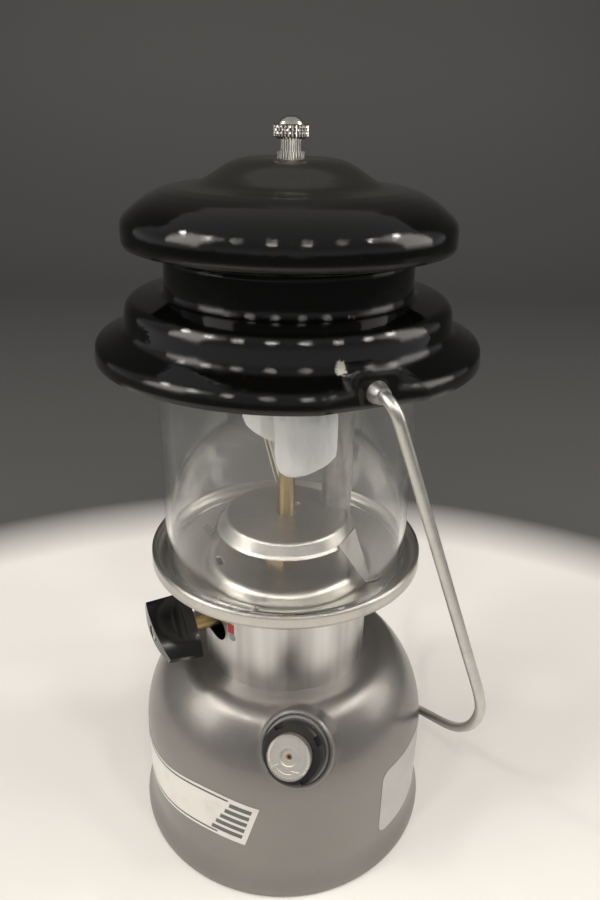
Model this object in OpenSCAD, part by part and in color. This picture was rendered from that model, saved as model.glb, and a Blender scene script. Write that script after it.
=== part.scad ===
// Two-mantle liquid-fuel camping lantern, millimetres, +Z up.
// Origin: centre of the tank's foot ring. The bail's pivots lie along Y, the valve knob points to -X
// and the mixing tube rises on +X. The tank stands on Z = 0.

/* [Tank] */
// Radius of the tank's side wall, at its widest
tank_r = 77.3; // [74:0.1:80]
// Radius of the rolled foot bead
foot_r = 80.3; // [78:0.1:83]
// Height at which the side wall turns into the shoulder
side_h = 58; // [50:0.5:62]
// Height of the tank's flat top
tank_top_z = 103.3; // [98:0.1:108]
// Radius of the broad shoulder curve
shoulder_r = 60; // [50:1:64]
// Radius of the tighter curve between shoulder and top
brow_r = 16; // [12:0.5:20]
// Thickness of the tank's steel
tank_wall = 1; // [0.8:0.1:1.4]
// Height of the bottom pan's centre above the table
pan_rise = 8.5; // [6:0.5:12]

/* [Filler] */
// Direction of the filler from the lantern's axis, degrees from +X
filler_az = 72; // [60:1:100]
// Height angle of the filler's axis above level, degrees
filler_tilt = 54; // [50:1:60]
// Outer radius of the filler neck
neck_r = 12.6; // [11:0.1:14]
// Height of the neck above the tank's skin
neck_h = 9; // [6:0.5:11]
// Thickness of the filler cap's top
cap_top = 2; // [1.2:0.1:3]
// Number of grip ribs round the filler cap
cap_ribs = 28; // [16:1:36]

/* [Pump] */
// Direction in which the pump's axis points, degrees from +X
pump_az = -130; // [-140:1:-120]
// Height angle of the pump's axis, degrees
pump_tilt = 31; // [26:1:36]
// Where the pump's axis leaves the tank, degrees round from +X
pump_seat_az = -107; // [-112:0.2:-104]
// Radius of the formed boss round the pump
boss_r = 18.4; // [17:0.1:21]
// Height of the boss's face above the tank's skin, on the pump's axis
boss_h = 4.8; // [4:0.1:6]
// Outer radius of the pump barrel
barrel_r = 10; // [9:0.1:11]
// Length of the pump barrel below the boss's face
barrel_len = 100; // [85:1:104]
// Outer radius of the black pump cap
pump_cap_r = 14.7; // [13.8:0.1:15.2]
// Height of the pump cap above its seat
pump_cap_h = 8; // [6:0.5:10]
// Radius of the plunger's hollow rod
rod_r = 4; // [3.5:0.1:4.6]
// Radius of the plunger's metal knob
pump_knob_r = 10.2; // [9:0.1:11.5]
// Thickness of the plunger's knob
pump_knob_h = 5.4; // [4:0.2:8]
// Number of teeth round the plunger's knob
pump_knob_teeth = 60; // [36:2:72]
// Radius of the air stem inside the hollow rod
air_stem_r = 1.5; // [1.2:0.1:1.9]

/* [Valve] */
// Height of the valve stem's axis
valve_z = 127.2; // [125:0.1:134]
// Radius of the brass valve stem
stem_r = 3.9; // [3.2:0.1:4.5]
// Distance from the lantern's axis to the knob's outer face
knob_reach = 73.2; // [72:0.2:80]
// Length of the knob's bar
knob_len = 32.2; // [30:0.1:36]
// Thickness of the knob's bar
knob_thick = 12; // [10.5:0.1:13]
// Thickness of that bar at its two ends
knob_tip = 3.4; // [2:0.1:6]
// Depth of the bar along the stem
knob_depth = 22; // [18:0.1:24]
// Angle of the bar below level at the off position, degrees
knob_angle = 31; // [0:1:60]
// Radius of the fuel pickup tube
fuel_tube_r = 4.5; // [3.5:0.1:5.5]

/* [Collar and tray] */
// Outer radius of the collar
collar_r = 43; // [40:0.1:46]
// Thickness of the collar's sheet
collar_wall = 0.7; // [0.5:0.1:1]
// Height of the tray's floor beside its raised centre
tray_z = 155.2; // [150:0.2:160]
// Radius of the tray's raised centre, at its foot
table_r = 42.2; // [40:0.1:44]
// Height of the raised centre above the floor beside it
table_h = 5; // [3.5:0.1:7]
// Height of the globe's seat above that floor
seat_rise = 7.3; // [6:0.1:9]
// Outer radius of the tray's rolled rim
tray_r = 68.6; // [66.5:0.1:72]
// Height of the rolled rim
rim_h = 6.4; // [5:0.1:8]
// Thickness of the tray's sheet
tray_wall = 0.8; // [0.6:0.1:1.1]
// Half width of the oval lighting hole in the tray
light_hole_r = 4.2; // [3:0.1:4.4]

/* [Burner] */
// Height of the heat shield's flat top
shield_z = 183; // [178:0.5:188]
// Radius of the heat shield at its top edge
shield_r = 32; // [30:0.5:35]
// Depth of the heat shield's skirt
shield_skirt = 6.8; // [5:0.2:9]
// Radius of the generator tube
gen_r = 4.1; // [3.5:0.1:4.6]
// Distance of the mixing tube from the lantern's axis
mix_x = 28.2; // [26:0.1:28.5]
// Outer radius of the mixing tube
mix_r = 7.8; // [6.5:0.1:8]
// Height of the manifold's axis
manifold_z = 277; // [272:0.5:280]
// Distance of each burner from the lantern's axis
burner_y = 21; // [20.5:0.5:23]
// Radius of a burner cap
burner_r = 9.5; // [8.5:0.1:10.5]
// Largest radius of a mantle
mantle_r = 15.6; // [13:0.1:15.7]
// Length of a mantle below its burner cap
mantle_len = 42; // [36:1:46]

/* [Globe] */
// Outer radius of the glass globe
globe_r = 61; // [59:0.1:62]
// Length of the globe
globe_h = 120; // [114:0.5:124]
// Thickness of the glass
globe_wall = 2.6; // [2:0.1:3.2]

/* [Ventilator] */
// Radius of the hood's brim
brim_r = 87.1; // [84:0.1:90]
// Height of the brim's lower edge
brim_z = 269.9; // [268:0.1:271]
// Radius of the hood's upper tier
tier_r = 73.4; // [71:0.1:76]
// Radius of the hood's band
band_r = 55.6; // [53:0.1:58]
// Height of the band's upper edge
band_top_z = 313.2; // [310:0.1:315]
// Thickness of the enamelled sheet
hood_wall = 0.9; // [0.7:0.1:1.2]
// Radius of the cap's skirt
cap_r = 72.4; // [70:0.1:75]
// Height of the cap's lower edge
cap_z = 317.4; // [316:0.1:320]
// Height of the cap's top, under the nut
cap_top_z = 352; // [349:0.1:356]
// Radius of the round baffle inside the band
baffle_r = 44; // [40:0.5:47]
// Radius of the ball nut's knurled band
nut_r = 7.4; // [6.5:0.1:8.5]
// Height of the ball nut
nut_h = 16.2; // [14:0.2:19]
// Number of teeth round the ball nut
nut_teeth = 30; // [20:1:40]
// Radius of the centre stud
stud_r = 2.5; // [2:0.1:2.8]

/* [Bail] */
// Height of the bail's pivots
pivot_z = 276; // [275:0.1:277]
// Distance from the lantern's axis to each flat pivot face
face_y = 84; // [83:0.1:85]
// Half width of a pivot boss at its top
ear_half = 10.5; // [9:0.5:12]
// Radius of the bail's wire
wire_r = 2.4; // [2:0.1:2.6]
// Gap between an eyelet's end and the start of the wire's bend
leg_gap = 0.2; // [0.1:0.1:3]
// Angle at which the legs spread, degrees
leg_spread = 5.7; // [3:0.1:8]
// Length of the straight part of each leg
leg_len = 132; // [120:0.5:140]
// Radius of the bend at each shoulder of the bail
corner_r = 42; // [30:1:60]
// Angle of a leg's far end to the axis after that bend, degrees
corner_turn = 24.4; // [15:0.1:35]
// Radius of the slacker curve that follows
bow_r = 148; // [100:1:180]
// Angle at which that curve ends, degrees
bow_turn = 54.3; // [45:0.1:60]
// Radius of the bend at the middle of the bail
peak_r = 28; // [15:1:40]

/* [Fits] */
// Gap between parts that move past each other
clear = 0.3; // [0.2:0.05:0.5]
// Radial clearance of a shaft in its bearing
run = 0.05; // [0.02:0.01:0.08]

/* [Hidden] */
$fn = 96;
tiny = 0.01;

// ---- outline helpers ----

// Points of an arc about [x, y], from angle a to angle b
function arc(x, y, r, a, b, n = 8) =
    [for (i = [0:n]) [x + r * cos(a + (b - a) * i / n), y + r * sin(a + (b - a) * i / n)]];

// Points of a cubic curve from p to s that leaves p towards q and reaches s from r
function curve(p, q, r, s, n = 8) =
    [for (i = [0:n]) let (t = i / n, u = 1 - t) u*u*u*p + 3*u*u*t*q + 3*u*t*t*r + t*t*t*s];

function unit(v) = v / norm(v);
function left(v) = [-v[1], v[0]];

// The same outline, shifted by t to its left-hand side
function shifted(p, t) =
    [for (i = [0:len(p) - 1])
        let (
            a = unit(p[min(i + 1, len(p) - 1)] - p[max(i - 1, 0)])
        )
        p[i] + left(a) * t];

function backwards(p) = [for (i = [len(p) - 1:-1:0]) p[i]];

// A sheet-metal shape: an outline turned round Z, with thickness t to its left-hand side
module turned_sheet(p, t) {
    rotate_extrude() polygon(concat(p, backwards(shifted(p, t))));
}

// A tube along Z
module tube(r_out, r_in, h) {
    difference() {
        cylinder(r = r_out, h = h);
        translate([0, 0, -1]) cylinder(r = r_in, h = h + 2);
    }
}

// A hexagon nut with a bore, standing on Z = 0
module hex_nut(across, bore_r, h) {
    difference() {
        cylinder(r = across / 2 / cos(30), h = h, $fn = 6);
        translate([0, 0, -1]) cylinder(r = bore_r, h = h + 2);
    }
}

// ---- tank ----

brow_angle = asin((tank_top_z - side_h - brow_r) / (shoulder_r - brow_r));
shoulder_x = tank_r - shoulder_r;
brow_x = shoulder_x + (shoulder_r - brow_r) * cos(brow_angle);
brow_z = side_h + (shoulder_r - brow_r) * sin(brow_angle);
foot_bead = 2;
lip_r = foot_r - 4.8;
bush_r = 11;
bush_flange = 2;

// The tank's outline from foot to top, t inside its outer skin
function tank_line(t) = concat(
    curve([foot_r - t, 3.5], [foot_r - 0.6 - t, 7.5], [tank_r - t, 10], [tank_r - 0.2 - t, 17], 6),
    arc(shoulder_x, side_h, shoulder_r - t, 0, brow_angle, 14),
    arc(brow_x, brow_z, brow_r - t, brow_angle, 90, 8)
);

module tank_space(t) {
    top = tank_top_z - t;
    rotate_extrude() polygon(concat(
        t > 0 ? [[0, t], [foot_r - t, t]]
              : concat([[0, 0]], arc(foot_r - foot_bead, foot_bead, foot_bead, -90, 0, 5)),
        tank_line(t),
        [[0, top]]
    ));
}

// Frame of the pump: Z along its axis, outwards, with Z = 0 on the tank's skin
pump_seat_angle = 33;
pump_seat_rad = shoulder_x + shoulder_r * cos(pump_seat_angle);
pump_seat_z = side_h + shoulder_r * sin(pump_seat_angle);
module on_pump() {
    translate([pump_seat_rad * cos(pump_seat_az), pump_seat_rad * sin(pump_seat_az), pump_seat_z])
        rotate([0, 90 - pump_tilt, pump_az]) children();
}

// Frame of the filler: Z along its axis, outwards, with Z = 0 on the tank's skin
filler_rad = brow_x + brow_r * cos(filler_tilt);
filler_z = brow_z + brow_r * sin(filler_tilt);
module on_filler() {
    translate([filler_rad * cos(filler_az), filler_rad * sin(filler_az), filler_z])
        rotate([0, 90 - filler_tilt, filler_az]) children();
}

boss_round = 1.6;
boss_depth = 13;
boss_flare = 0.6;
boss_recess = 1.2;
boss_lip_in = 0.4;
boss_seat_r = barrel_r + 5.8;
recess_r = boss_seat_r + 0.5;
// The formed boss: a rounded lip round the recess in which the barrel's flange is seated
module boss_body(t) {
    r = boss_r - t;
    rotate_extrude() polygon(concat(
        [[0, -boss_depth], [r + boss_flare, -boss_depth]],
        t > 0 ? [[r, boss_h - boss_recess - t]]
              : arc(r - boss_round, boss_h - boss_round, boss_round, 0, 100, 6),
        t > 0 ? [] : [[recess_r, boss_h - boss_lip_in], [recess_r, boss_h - boss_recess]],
        [[0, boss_h - boss_recess - t]]
    ));
}

filler_boss_r = neck_r + 2.5;
filler_boss_h = 1.4;
boss_root = 8;
module filler_boss(t) {
    translate([0, 0, -boss_root])
        cylinder(r1 = filler_boss_r - t, r2 = filler_boss_r - 1 - t, h = boss_root + filler_boss_h - t);
}

module tank_shell() {
    color([0.42, 0.42, 0.44])
    difference() {
        union() {
            tank_space(0);
            on_pump() boss_body(0);
            on_filler() filler_boss(0);
        }
        tank_space(tank_wall);
        intersection() {
            on_pump() boss_body(tank_wall);
            tank_space(-6);
        }
        on_filler() filler_boss(tank_wall);
        translate([0, 0, -1]) cylinder(r = lip_r, h = 6);
        on_pump() translate([0, 0, -4]) cylinder(r = barrel_r, h = 20);
        on_filler() translate([0, 0, -8]) cylinder(r = neck_r, h = 20);
        translate([0, 0, tank_top_z - 4]) cylinder(r = bush_r, h = 8);
    }
}

pan_wall = 0.8;
module tank_bottom() {
    color([0.36, 0.36, 0.38])
    turned_sheet(concat(
        [[0, pan_rise]],
        curve([20, pan_rise], [45, pan_rise - 0.6], [66, pan_rise - 2], [lip_r - 4, 3], 8),
        [[lip_r - 1, tank_wall], [foot_r - tank_wall - 0.3, tank_wall]]
    ), pan_wall);
}

module tank_bush() {
    color("goldenrod")
    translate([0, 0, tank_top_z - 8]) difference() {
        union() {
            cylinder(r = bush_r, h = 8);
            translate([0, 0, 8 - tank_wall - bush_flange]) cylinder(r = bush_r + 3, h = bush_flange);
        }
        translate([0, 0, -1]) cylinder(r = valve_thread_r + run, h = 12);
    }
}

// ---- filler ----

neck_in = neck_r - 1.5;
neck_flange = 0.6;
gasket_h = 1.6;
cap_wall = 1.6;
module filler_neck() {
    color("goldenrod")
    on_filler() translate([0, 0, -5]) {
        difference() {
            union() {
                cylinder(r = neck_r, h = 5 + neck_h);
                cylinder(r = neck_r + neck_flange, h = 2);
            }
            translate([0, 0, -1]) cylinder(r = neck_in, h = neck_h + 8);
        }
    }
}

module filler_gasket() {
    color("black")
    on_filler() translate([0, 0, neck_h + clear]) tube(neck_r, neck_in - 2, gasket_h);
}

cap_foot = filler_boss_h + 2 * clear;
cap_inside = neck_h + clear + gasket_h + 0.1;
cap_h = cap_inside + cap_top - cap_foot;
module filler_cap() {
    inner_r = neck_r + clear + 0.1;
    outer_r = inner_r + cap_wall;
    color("dimgray")
    on_filler() difference() {
        union() {
            translate([0, 0, cap_foot]) cylinder(r = outer_r, h = cap_h - 1.5);
            translate([0, 0, cap_foot + cap_h - 1.5]) cylinder(r1 = outer_r, r2 = outer_r - 1.5, h = 1.5);
            for (i = [0:cap_ribs - 1])
                rotate([0, 0, i * 360 / cap_ribs])
                    translate([outer_r, 0, cap_foot + 1]) cylinder(r = 0.7, h = cap_h - 3, $fn = 6);
        }
        translate([0, 0, cap_foot - 1]) cylinder(r = inner_r, h = cap_inside - cap_foot + 1);
    }
}

// ---- pump ----

barrel_in = barrel_r - 0.7;
flange_t = 1.2;
flange_z = boss_h - boss_recess;
seat_z = flange_z + flange_t;
barrel_end = boss_h - barrel_len;
cup_z = barrel_end + 14;
knob_base = seat_z + pump_cap_h + 0.6;

module pump_barrel() {
    color("silver")
    on_pump() difference() {
        union() {
            translate([0, 0, barrel_end]) cylinder(r = barrel_r, h = barrel_len);
            translate([0, 0, flange_z]) cylinder(r = boss_seat_r, h = flange_t);
        }
        translate([0, 0, barrel_end + 1.5]) cylinder(r = barrel_in, h = barrel_len + 4);
        translate([0, 0, barrel_end - 1]) cylinder(r = 4, h = 4);
    }
}

plug_len = 7.4;
notch_w = 4.4;
notch_in = 2.2;
notch_depth = 2.4;
notch_az = 37;
module pump_cap() {
    color([0.06, 0.06, 0.06])
    on_pump() difference() {
        union() {
            translate([0, 0, seat_z]) cylinder(r = pump_cap_r, h = pump_cap_h - 1);
            translate([0, 0, seat_z + pump_cap_h - 1])
                cylinder(r1 = pump_cap_r, r2 = pump_cap_r - 1, h = 1);
            translate([0, 0, seat_z - plug_len]) cylinder(r = barrel_in - 0.05, h = plug_len + tiny);
        }
        translate([0, 0, seat_z - 10]) cylinder(r = rod_r + run, h = pump_cap_h + 20);
        translate([0, 0, seat_z + pump_cap_h - 1.2]) cylinder(r = pump_knob_r - 0.6, h = 4);
        for (a = [notch_az:90:notch_az + 270])
            rotate([0, 0, a])
                translate([pump_cap_r - notch_in, -notch_w / 2, seat_z + pump_cap_h - notch_depth])
                    cube([2 * notch_in, notch_w, 2 * notch_depth]);
    }
}

module pump_rod() {
    color("silver")
    on_pump() translate([0, 0, cup_z + 2]) tube(rod_r, air_stem_r + run + 0.6, knob_base + 2 - cup_z - 2);
}

knob_dish_r = 4.1;
module pump_knob() {
    color("lightgray")
    on_pump() difference() {
        union() {
            translate([0, 0, knob_base]) cylinder(r = pump_knob_r - 0.3, h = pump_knob_h);
            translate([0, 0, knob_base + 0.4])
                linear_extrude(pump_knob_h - 0.9)
                    polygon([for (i = [0:2 * pump_knob_teeth - 1])
                        let (a = i * 180 / pump_knob_teeth, r = pump_knob_r - (i % 2) * 0.45)
                        [r * cos(a), r * sin(a)]]);
        }
        translate([0, 0, knob_base - 1]) cylinder(r = rod_r + tiny, h = 3);
        translate([0, 0, knob_base + pump_knob_h - 0.9]) cylinder(r = knob_dish_r, h = 2);
        translate([0, 0, knob_base - 1]) cylinder(r = air_stem_r + run, h = pump_knob_h + 4);
    }
}

module pump_cup() {
    color("saddlebrown")
    on_pump() translate([0, 0, cup_z]) difference() {
        cylinder(r = barrel_in - 0.05, h = 7);
        translate([0, 0, -1]) cylinder(r = barrel_in - 1.5, h = 6.4);
        translate([0, 0, -1]) cylinder(r = rod_r + tiny, h = 12);
    }
}

module cup_retainer() {
    color("silver")
    on_pump() translate([0, 0, cup_z + 7]) tube(barrel_in - 1.2, rod_r + tiny, 1.2);
}

module check_valve() {
    color("goldenrod")
    on_pump() translate([0, 0, barrel_end]) {
        difference() {
            union() {
                translate([0, 0, -7]) cylinder(r = 6, h = 7);
                cylinder(r = 4 - tiny, h = 1.5);
                translate([0, 0, 1.5]) cylinder(r = 5.5, h = 7);
            }
            translate([0, 0, 0.5]) cylinder(r = air_stem_r + run, h = 12);
            translate([0, 0, -8]) cylinder(r = 1, h = 12);
        }
    }
}

module air_stem() {
    top = knob_base + pump_knob_h - 1.4;
    color("goldenrod")
    on_pump() translate([0, 0, barrel_end + 2]) cylinder(r = air_stem_r, h = top - barrel_end - 2);
}

// ---- valve ----

valve_thread_r = 8.5;
valve_r = 9;
valve_bottom = tank_top_z - 7;
table_z = tray_z + table_h;
valve_shoulder = table_z - tray_wall;
spigot_r = 6.5;
spigot_top = table_z + 5.5;
gland_x = 15;

module valve_body() {
    color("goldenrod")
    difference() {
        union() {
            translate([0, 0, valve_bottom]) cylinder(r = valve_thread_r, h = 12);
            translate([0, 0, tank_top_z + collar_wall]) {
                cylinder(r = 13, h = 6, $fn = 6);
                cylinder(r = valve_r, h = valve_shoulder - tank_top_z - collar_wall);
            }
            translate([0, 0, valve_shoulder - 3]) cylinder(r = 12, h = 3);
            translate([0, 0, valve_shoulder - tiny])
                cylinder(r = spigot_r, h = spigot_top - valve_shoulder);
            translate([-gland_x, 0, valve_z]) rotate([0, 90, 0]) cylinder(r = 7, h = gland_x);
        }
        translate([-gland_x - 1, 0, valve_z]) rotate([0, 90, 0]) cylinder(r = stem_r + run, h = 12);
        translate([0, 0, valve_z]) cylinder(r = 1.8, h = 60);
        translate([0, 0, valve_bottom - 1]) cylinder(r = 1.8, h = valve_z - valve_bottom + 2);
        translate([-gland_x + 8, 0, valve_z]) rotate([0, 90, 0]) cylinder(r = pin_r + run, h = gland_x - 5);
    }
}

module packing_nut() {
    color("goldenrod")
    translate([-gland_x, 0, valve_z]) rotate([0, -90, 0]) hex_nut(13.5, stem_r + run, 6);
}

stem_in = 6;
pin_r = 1.2;
knob_inner = knob_reach - knob_depth;
tang_r = 2.6;
module valve_stem() {
    color("darkgoldenrod")
    translate([-gland_x + stem_in, 0, valve_z]) rotate([0, -90, 0]) difference() {
        union() {
            cylinder(r = stem_r, h = knob_inner - gland_x + stem_in);
            cylinder(r = tang_r, h = knob_reach - gland_x + stem_in - 6);
            // the pin that works the cleaning rod
            translate([0, 0, -gland_x + stem_in - 1]) cylinder(r = pin_r, h = gland_x - stem_in + 2);
        }
        translate([0, 0, knob_reach - gland_x + stem_in - 16]) cylinder(r = 1.5, h = 20);
    }
}

// The knob lies along local X, and its local Z is the stem's direction
knob_bow = 60;
bow_shift = 8.1;
knob_taper = 1.6;
grip_r = 14;
grip_depth = 1.4;
grip_in = 5.5;
grip_out = 3.5;
// A lens, blunt at both ends
module knob_outline() {
    long = knob_len + 2 * knob_taper;
    swell = (knob_thick - knob_tip) / 2;
    side_r = (long * long / 4 + swell * swell) / (2 * swell);
    intersection_for(s = [-1, 1]) intersection() {
        translate([0, s * (side_r - knob_thick / 2)]) circle(r = side_r);
        square([long, knob_thick], center = true);
    }
}
module valve_knob() {
    color([0.05, 0.05, 0.05])
    translate([0, 0, valve_z]) rotate([0, -90, 0]) rotate([0, 0, -90 - knob_angle])
    difference() {
        intersection() {
            translate([0, 0, knob_inner]) linear_extrude(knob_depth) knob_outline();
            // seen from the side the bar narrows outwards
            rotate([90, 0, 0]) translate([0, 0, -knob_thick]) linear_extrude(2 * knob_thick) polygon([
                [-knob_len / 2 - knob_taper, knob_inner], [knob_len / 2 + knob_taper, knob_inner],
                [knob_len / 2, knob_reach], [-knob_len / 2, knob_reach]
            ]);
            // and its outer face is bowed, fullest near one end
            translate([-bow_shift, knob_thick, knob_reach - knob_bow]) rotate([90, 0, 0])
                cylinder(r = knob_bow, h = 2 * knob_thick);
        }
        translate([0, 0, knob_inner - 1]) cylinder(r = tang_r, h = knob_depth - 5);
        // the dished grips on the bar's two long sides
        for (s = [0, 1]) mirror([0, s, 0])
            translate([0, knob_thick / 2 + grip_r - grip_depth, knob_inner + grip_in]) intersection() {
                rotate([0, 90, 0]) cylinder(r = grip_r, h = knob_len, center = true);
                translate([-knob_len / 2, -grip_r, 0])
                    cube([knob_len, 2 * grip_r, knob_depth - grip_in - grip_out]);
            }
        translate([0, 0, knob_reach - 6 - tiny]) cylinder(r = 2, h = 10);
        translate([0, 0, knob_reach - 2.5]) cylinder(r = 4, h = 10);
    }
}

module knob_screw() {
    color("silver")
    translate([0, 0, valve_z]) rotate([0, -90, 0]) difference() {
        union() {
            translate([0, 0, knob_reach - 14]) cylinder(r = 1.4, h = 12);
            translate([0, 0, knob_reach - 2.5]) cylinder(r = 3.4, h = 1.8);
        }
        rotate([0, 0, -30]) translate([-5, -0.5, knob_reach - 1.5]) cube([10, 1, 3]);
    }
}

tube_bottom = 13;
module fuel_tube() {
    color("goldenrod")
    translate([0, 0, tube_bottom + 6]) tube(fuel_tube_r, 1.8, valve_bottom - tube_bottom - 6);
}

module fuel_strainer() {
    color("goldenrod")
    translate([0, 0, tube_bottom]) difference() {
        cylinder(r = fuel_tube_r - 0.8, h = 6);
        translate([0, 0, 2]) cylinder(r = 1.8, h = 6);
        for (a = [0:60:300])
            rotate([0, 0, a]) translate([2, 0, 3.5]) rotate([0, 90, 0]) cylinder(r = 0.6, h = 4);
    }
}

// ---- collar and tray ----

port_r = 6.8;
port_az = 194;
port_z = valve_z + 2.2;
stem_slot_r = stem_r + 1;
module collar() {
    color("lightgray")
    difference() {
        translate([0, 0, tank_top_z]) difference() {
            cylinder(r = collar_r, h = tray_z - tray_wall - tank_top_z);
            translate([0, 0, collar_wall]) cylinder(r = collar_r - collar_wall, h = tray_z);
            translate([0, 0, -1]) cylinder(r = valve_r + 0.5, h = 4);
            for (a = [45:90:315]) rotate([0, 0, a]) translate([26, 0, -1]) cylinder(r = 8, h = 4);
        }
        translate([0, 0, valve_z]) rotate([0, -90, 0]) {
            cylinder(r = stem_slot_r, h = collar_r + 5);
            translate([-stem_slot_r + 0.5, -11, collar_r - 8]) cube([2 * stem_slot_r - 1, 11, 12]);
        }
        translate([0, 0, port_z]) rotate([0, 0, port_az]) rotate([0, 90, 0])
            cylinder(r = port_r, h = collar_r + 5);
    }
}

seat_in = globe_r - globe_wall - 2.5;
seat_z0 = tray_z + seat_rise;
rim_top = seat_z0 + rim_h - 1;
table_round = 4.5;
light_rad = 52.9;
light_az = -137.5;
light_half = 5.4;
light_lip = 0.9;
light_cut = 24;

// Upper surface of the tray from its centre hole outwards, then down the rolled rim
tray_line = concat(
    [[spigot_r + 0.1, table_z]],
    arc(table_r - 1 - table_round, table_z - table_round, table_round, 90, 15, 5),
    [[table_r, tray_z], [table_r + 2.5, tray_z]],
    [[seat_in, seat_z0 - 0.6], [seat_in + 1.2, seat_z0], [globe_r + 1.6, seat_z0]],
    curve([globe_r + 2.6, seat_z0 + 0.2], [tray_r - 3.2, seat_z0 + 0.4], [tray_r - 2.6, seat_z0 + 2],
        [tray_r - 2.4, rim_top - 1.2], 5),
    arc(tray_r - 1.2, rim_top - 1.2, 1.2, 165, 15, 6),
    [[tray_r, rim_top - 2], [tray_r + 0.1, rim_top - rim_h]]
);

// The upright outline of the oval lighting hole, w wider all round
module light_hole(w) {
    rotate([0, 0, light_az]) translate([light_rad, 0, tray_z - light_cut / 2]) {
        for (s = [-1, 1]) translate([0, s * light_half, 0]) cylinder(r = light_hole_r + w, h = light_cut);
        translate([-light_hole_r - w, -light_half, 0])
            cube([2 * (light_hole_r + w), 2 * light_half, light_cut]);
    }
}
module tray() {
    color("silver")
    difference() {
        union() {
            turned_sheet(tray_line, -tray_wall);
            intersection() {
                turned_sheet(tray_line, light_lip);
                light_hole(light_lip);
            }
        }
        translate([mix_x, 0, tray_z - 5]) cylinder(r = mix_r + clear, h = 20);
        light_hole(0);
        rotate([0, 0, 175]) translate([34, -4, tray_z]) cube([2.4, 8, 20]);
    }
}

nut_t = 4;
module tray_nut() {
    color("goldenrod")
    translate([0, 0, table_z]) hex_nut(19, spigot_r + run, nut_t);
}

// ---- burner ----

shield_wall = 0.6;
leg_az = [-51, 129];
leg_foot_r = 46;
leg_top_r = shield_r + 1.6;
leg_top_w = 20;
leg_foot_w = 4.5;
floor_slope = (seat_rise - 0.6) / (seat_in - table_r - 2.5);
leg_foot_z = tray_z + (leg_foot_r - table_r - 2.5) * floor_slope + 0.6;

module shield_leg() {
    rise = shield_z - shield_skirt * 0.75 - leg_foot_z;
    run_out = leg_foot_r - leg_top_r;
    long = sqrt(rise * rise + run_out * run_out);
    lean = atan2(run_out, rise);
    translate([leg_foot_r, 0, leg_foot_z]) rotate([0, -lean, 0]) rotate([90, 0, 90])
        linear_extrude(shield_wall)
            polygon([
                [-leg_foot_w / 2, 0], [leg_foot_w / 2, 0],
                [leg_top_w / 2, long], [-leg_top_w / 2, long]
            ]);
    translate([leg_foot_r, -leg_foot_w / 2, leg_foot_z]) rotate([0, -atan(floor_slope), 0])
        cube([6.5, leg_foot_w, shield_wall]);
}

module heat_shield() {
    color("silver")
    difference() {
        union() {
            turned_sheet(concat(
                [[gen_r + 1, shield_z]],
                arc(shield_r - 2.5, shield_z - 2.5, 2.5, 90, 20, 5),
                [[shield_r + 2.2, shield_z - shield_skirt + 1.2], [shield_r + 3.4, shield_z - shield_skirt]]
            ), -shield_wall);
            for (a = leg_az) rotate([0, 0, a]) shield_leg();
        }
        translate([mix_x, 0, shield_z - 10]) cylinder(r = mix_r + 0.1, h = 20);
        rotate([0, 0, 37]) translate([10, 0, shield_z - 10]) cylinder(r = 2, h = 20);
    }
}

gen_base = spigot_top + 0.1;
gen_top = manifold_z - 8;
module generator() {
    color("goldenrod")
    translate([0, 0, gen_base]) difference() {
        union() {
            cylinder(r = gen_r, h = gen_top - gen_base - 5);
            cylinder(r = spigot_r - 0.8, h = 2);
            translate([0, 0, gen_top - gen_base - 5]) cylinder(r1 = gen_r, r2 = 1.6, h = 5);
        }
        translate([0, 0, -1]) cylinder(r = 1.8, h = gen_top - gen_base - 4);
        cylinder(r = 0.4, h = 200);
    }
}

module generator_nut() {
    color("goldenrod")
    translate([0, 0, table_z + nut_t + 0.1]) difference() {
        cylinder(r = 15 / 2 / cos(30), h = 8, $fn = 6);
        translate([0, 0, -1]) cylinder(r = spigot_r + run, h = 1 + spigot_top - table_z - nut_t + 2.2);
        translate([0, 0, -1]) cylinder(r = gen_r + run, h = 12);
    }
}

module cleaning_rod() {
    color("silver")
    translate([0, 0, valve_z + pin_r + 0.1]) cylinder(r = 1, h = gen_top - valve_z - 20);
}

mix_wall = 0.9;
mix_bend = 16;
mix_bottom = tray_z - 14;
manifold_r = 8.5;
mix_end = manifold_r - 2;
module mixing_tube() {
    color("gray")
    difference() {
        union() {
            translate([mix_x, 0, mix_bottom]) cylinder(r = mix_r, h = manifold_z - mix_bend - mix_bottom);
            translate([mix_x - mix_bend, 0, manifold_z - mix_bend]) rotate([90, 0, 0])
                rotate_extrude(angle = 90) translate([mix_bend, 0]) circle(r = mix_r);
            translate([mix_end, 0, manifold_z]) rotate([0, 90, 0])
                cylinder(r = mix_r, h = mix_x - mix_bend - mix_end + tiny);
        }
        translate([mix_x, 0, mix_bottom - 1])
            cylinder(r = mix_r - mix_wall, h = manifold_z - mix_bend - mix_bottom + 1);
        translate([mix_x - mix_bend, 0, manifold_z - mix_bend]) rotate([90, 0, 0])
            rotate_extrude(angle = 90) translate([mix_bend, 0]) circle(r = mix_r - mix_wall);
        translate([mix_end - 1, 0, manifold_z]) rotate([0, 90, 0])
            cylinder(r = mix_r - mix_wall, h = mix_x - mix_bend - mix_end + 1);
    }
}

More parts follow.
